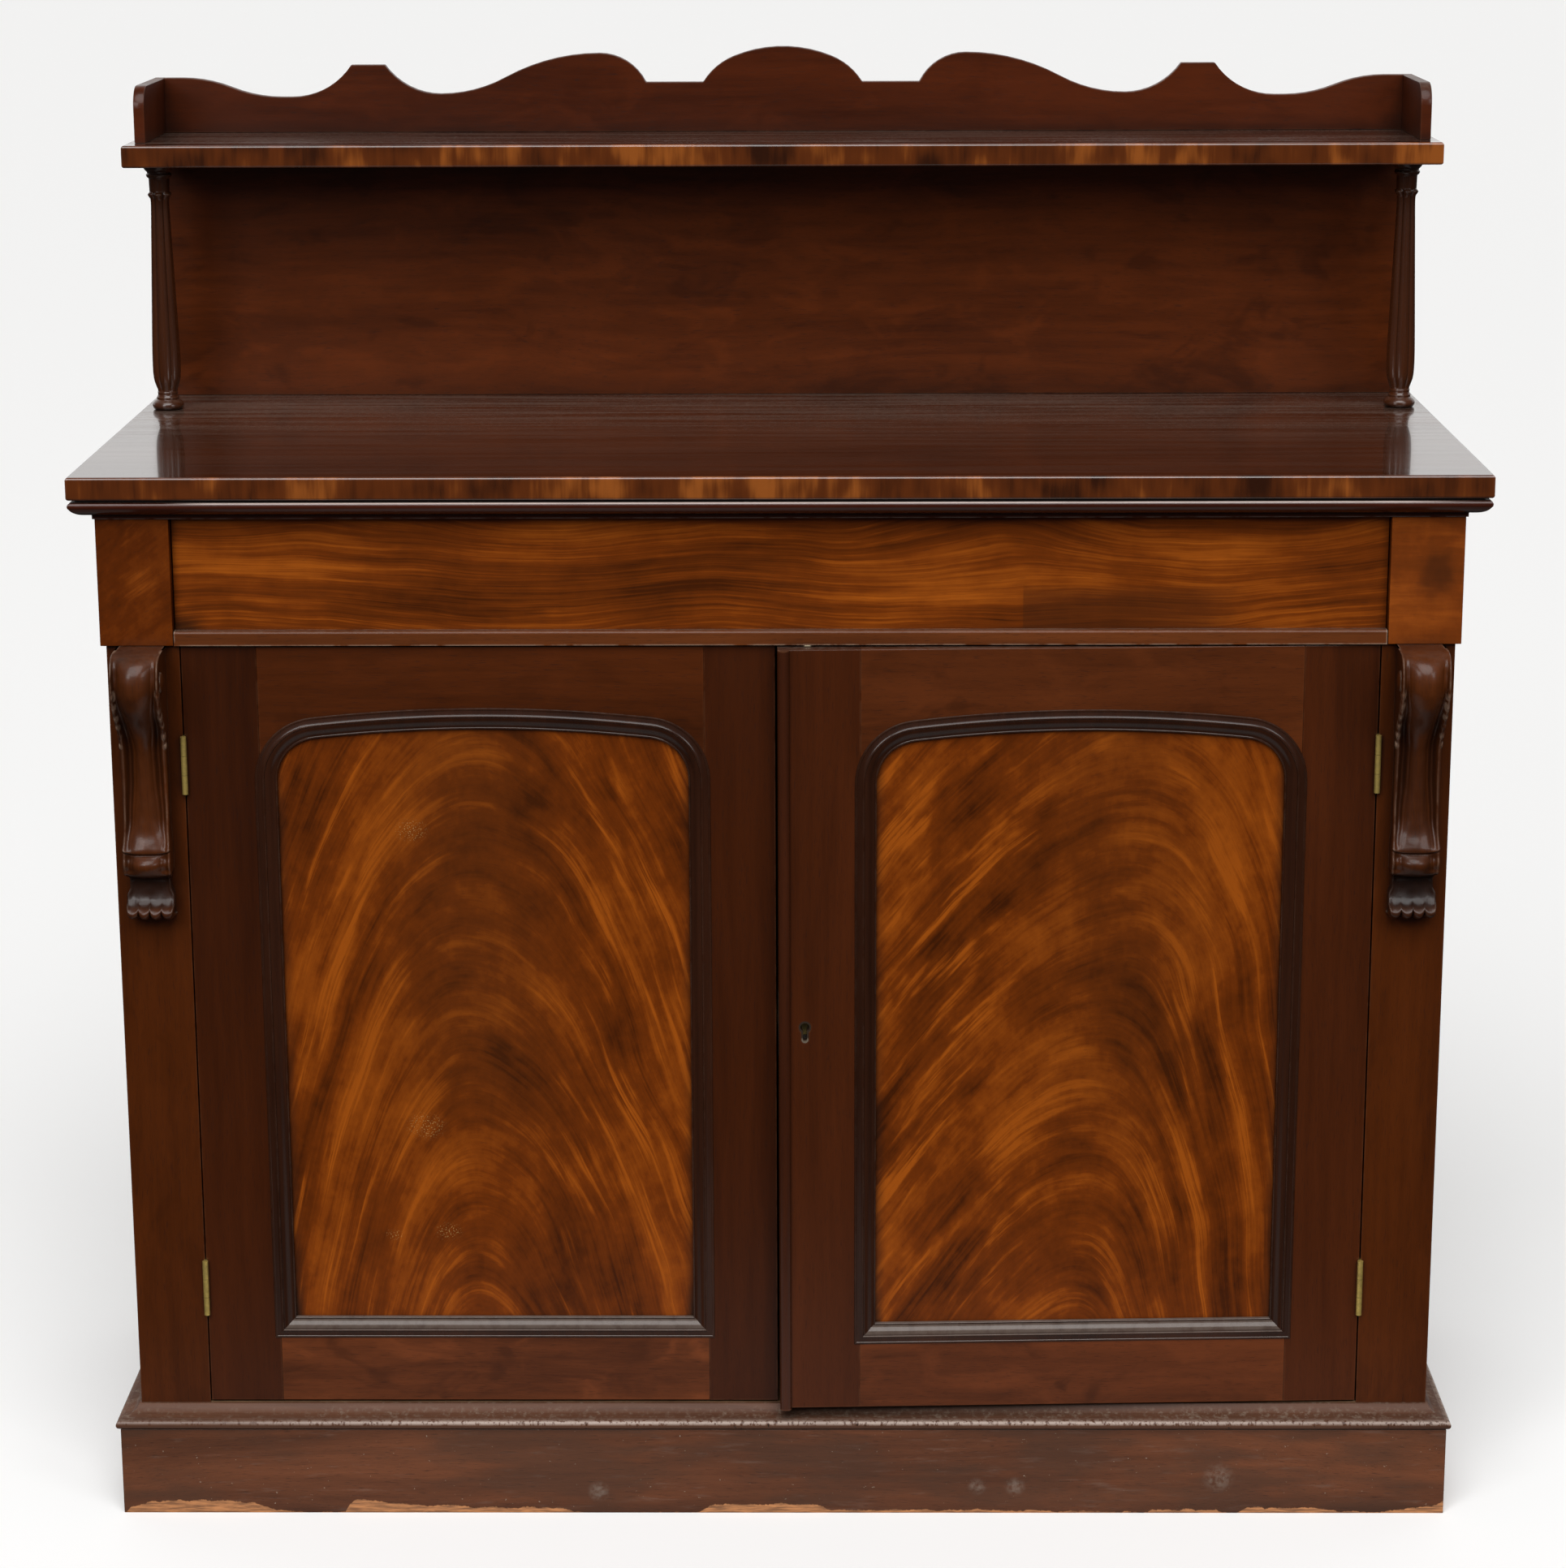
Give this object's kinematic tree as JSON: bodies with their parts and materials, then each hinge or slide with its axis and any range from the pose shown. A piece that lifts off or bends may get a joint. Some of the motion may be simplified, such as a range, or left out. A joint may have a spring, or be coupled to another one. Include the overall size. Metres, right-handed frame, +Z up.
{
  "type": "chiffonier",
  "caption": "Low two-door cupboard with arched panels, a drawer hidden in the frieze, scroll corbels, and a raised shelf on turned columns with a shaped gallery.",
  "frame": {"origin": "on the floor, under the middle of the part's box", "axes": "+Z up, the doors and corbels towards -Y, +X to the right as seen from the front"},
  "size_m": [1.22, 0.5354, 1.2916],
  "materials": {
    "mahogany": "french polished, worn at the plinth",
    "dark_mahogany": "dark french polish with dirt in the hollows",
    "polished_top": "high polish, cross-banded edge",
    "frieze_veneer": "polished veneer with a wavy figure",
    "flame_veneer": "polished crotch veneer",
    "carcass_wood": "unpolished pine, darkened by age",
    "brass": "dull with age",
    "lock_steel": "dark, unpolished"
  },
  "bodies": {
    "case": {"plinth_front": "mahogany", "plinth_sides": "mahogany", "plinth_back": "carcass_wood", "corner_blocks": "carcass_wood", "plinth_moulding_front": "mahogany", "plinth_moulding_returns": "mahogany", "bottom_board": "carcass_wood", "case_side_left": "mahogany", "case_side_right": "mahogany", "back_boards": "carcass_wood", "pilasters": "mahogany", "frieze_blocks": "frieze_veneer", "frieze_sides": "mahogany", "drawer_rail": "carcass_wood", "drawer_runners": "carcass_wood", "top_frame": "carcass_wood", "cupboard_shelf": "carcass_wood", "shelf_bearers": "carcass_wood", "corbels": "dark_mahogany", "top_board": "polished_top", "under_moulding_front": "dark_mahogany", "under_moulding_returns": "dark_mahogany", "back_panel": "mahogany", "columns": "dark_mahogany", "upper_shelf": "polished_top", "gallery_back": "mahogany", "gallery_sides": "mahogany", "hinge_case_leaves": "brass", "hinge_pins": "brass"},
    "drawer": {"drawer_front": "frieze_veneer", "drawer_lip": "mahogany", "drawer_side_left": "carcass_wood", "drawer_side_right": "carcass_wood", "drawer_back": "carcass_wood", "drawer_bottom": "carcass_wood"},
    "left_door": {"left_door_hinge_stile": "mahogany", "left_door_meeting_stile": "mahogany", "left_door_top_rail": "mahogany", "left_door_bottom_rail": "mahogany", "left_door_panel": "flame_veneer", "left_door_panel_moulding": "dark_mahogany", "left_hinge_leaves": "brass", "strike_plate": "brass", "bolt_guides": "brass"},
    "right_door": {"right_door_hinge_stile": "mahogany", "right_door_meeting_stile": "mahogany", "right_door_top_rail": "mahogany", "right_door_bottom_rail": "mahogany", "right_door_panel": "flame_veneer", "right_door_panel_moulding": "dark_mahogany", "meeting_bead": "dark_mahogany", "right_hinge_leaves": "brass", "lock_case": "lock_steel", "key_plate": "brass"},
    "upper_bolt": {"upper_bolt": "brass"},
    "lower_bolt": {"lower_bolt": "brass"},
    "lock_bolt": {"lock_bolt": "brass"}
  },
  "joints": [
    {"name": "drawer_slide", "type": "slide", "parent": "case", "child": "drawer", "axis": [0, -1, 0], "range_m": [0, 0.3]},
    {"name": "left_door_hinge", "type": "hinge", "parent": "case", "child": "left_door", "pos_m": [-0.5215, -0.2107, 0.455], "axis": [0, 0, -1], "range_deg": [0, 98]},
    {"name": "right_door_hinge", "type": "hinge", "parent": "case", "child": "right_door", "pos_m": [0.5215, -0.2107, 0.455], "axis": [0, 0, 1], "range_deg": [-2, 96]},
    {"name": "upper_bolt_slide", "type": "slide", "parent": "left_door", "child": "upper_bolt", "axis": [0, 0, 1], "range_m": [0, 0.012]},
    {"name": "lower_bolt_slide", "type": "slide", "parent": "left_door", "child": "lower_bolt", "axis": [0, 0, -1], "range_m": [0, 0.012]},
    {"name": "lock_bolt_slide", "type": "slide", "parent": "right_door", "child": "lock_bolt", "axis": [-0.9994, -0.0349, 0], "range_m": [0, 0.008]}
  ]
}
